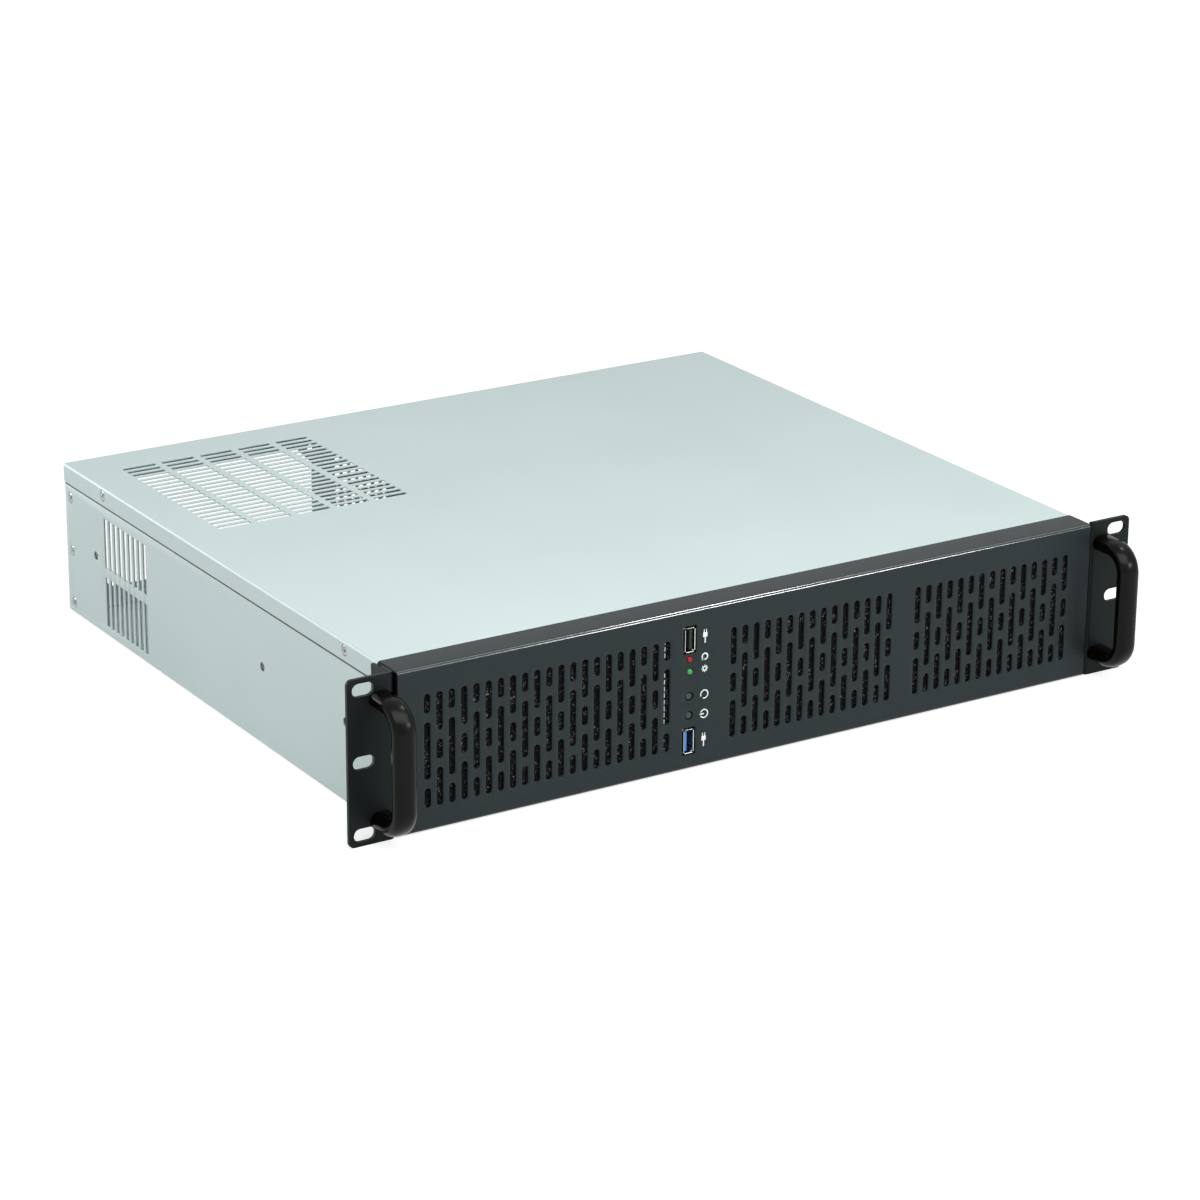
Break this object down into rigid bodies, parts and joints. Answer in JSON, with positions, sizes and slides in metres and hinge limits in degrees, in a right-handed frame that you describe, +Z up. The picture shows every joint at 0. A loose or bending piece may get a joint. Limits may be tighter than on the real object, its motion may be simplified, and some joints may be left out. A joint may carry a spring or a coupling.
{
  "type": "empty rackmount server case",
  "caption": "Low two-unit rack case with screwed lid, slotted black front, rack ears, bow handles, front ports and empty inside.",
  "frame": {"origin": "centre of the bounding box at the level of the tray's underside", "axes": "+X to the right seen from the front, +Y to the rear, +Z up; the front is at -Y"},
  "size_m": [0.4826, 0.4068, 0.0881],
  "materials": {
    "zinc_sheet": "satin zinc-coated sheet steel, pale grey-green",
    "black_coat": "fine-grained charcoal powder coat",
    "black_handle": "smooth black satin-gloss coating",
    "screw_steel": "bright zinc-plated steel",
    "port_metal": "bright tinned steel",
    "black_plastic": "matt black plastic",
    "blue_plastic": "satin blue plastic",
    "red_lens": "clear-dyed red lamp",
    "green_lens": "clear-dyed green lamp",
    "button_plastic": "matt charcoal plastic",
    "board_green": "green circuit board",
    "filter_foam": "open-cell black foam",
    "brass": "turned brass"
  },
  "bodies": {
    "case": {"chassis_tray": "zinc_sheet", "top_cover": "zinc_sheet", "rear_panel": "zinc_sheet", "front_bezel": "black_coat", "front_frame": "zinc_sheet", "left_filter": "filter_foam", "middle_filter": "filter_foam", "right_filter": "filter_foam", "left_ear": "black_coat", "left_handle": "black_handle", "right_ear": "black_coat", "right_handle": "black_handle", "cover_screws": "screw_steel", "rear_screws": "screw_steel", "ear_screws": "screw_steel", "handle_screws": "screw_steel", "slot_screws": "screw_steel", "usb2_shell": "port_metal", "usb2_tongue": "black_plastic", "usb3_shell": "port_metal", "usb3_tongue": "blue_plastic", "red_led": "red_lens", "green_led": "green_lens", "reset_switch": "black_plastic", "power_switch": "black_plastic", "control_board": "board_green", "control_bracket": "zinc_sheet", "slot_cover_1": "zinc_sheet", "slot_cover_2": "zinc_sheet", "board_standoffs": "brass", "fan_bracket": "zinc_sheet", "drive_cage": "zinc_sheet", "cross_brace": "zinc_sheet"},
    "reset": {"reset_button": "button_plastic"},
    "power": {"power_button": "button_plastic"}
  },
  "joints": [
    {"name": "reset_press", "type": "slide", "parent": "case", "child": "reset", "axis": [0, 1, 0], "range_m": [0, 0.001], "stiffness_N_per_m": 300},
    {"name": "power_press", "type": "slide", "parent": "case", "child": "power", "axis": [0, 1, 0], "range_m": [0, 0.001], "stiffness_N_per_m": 300}
  ]
}
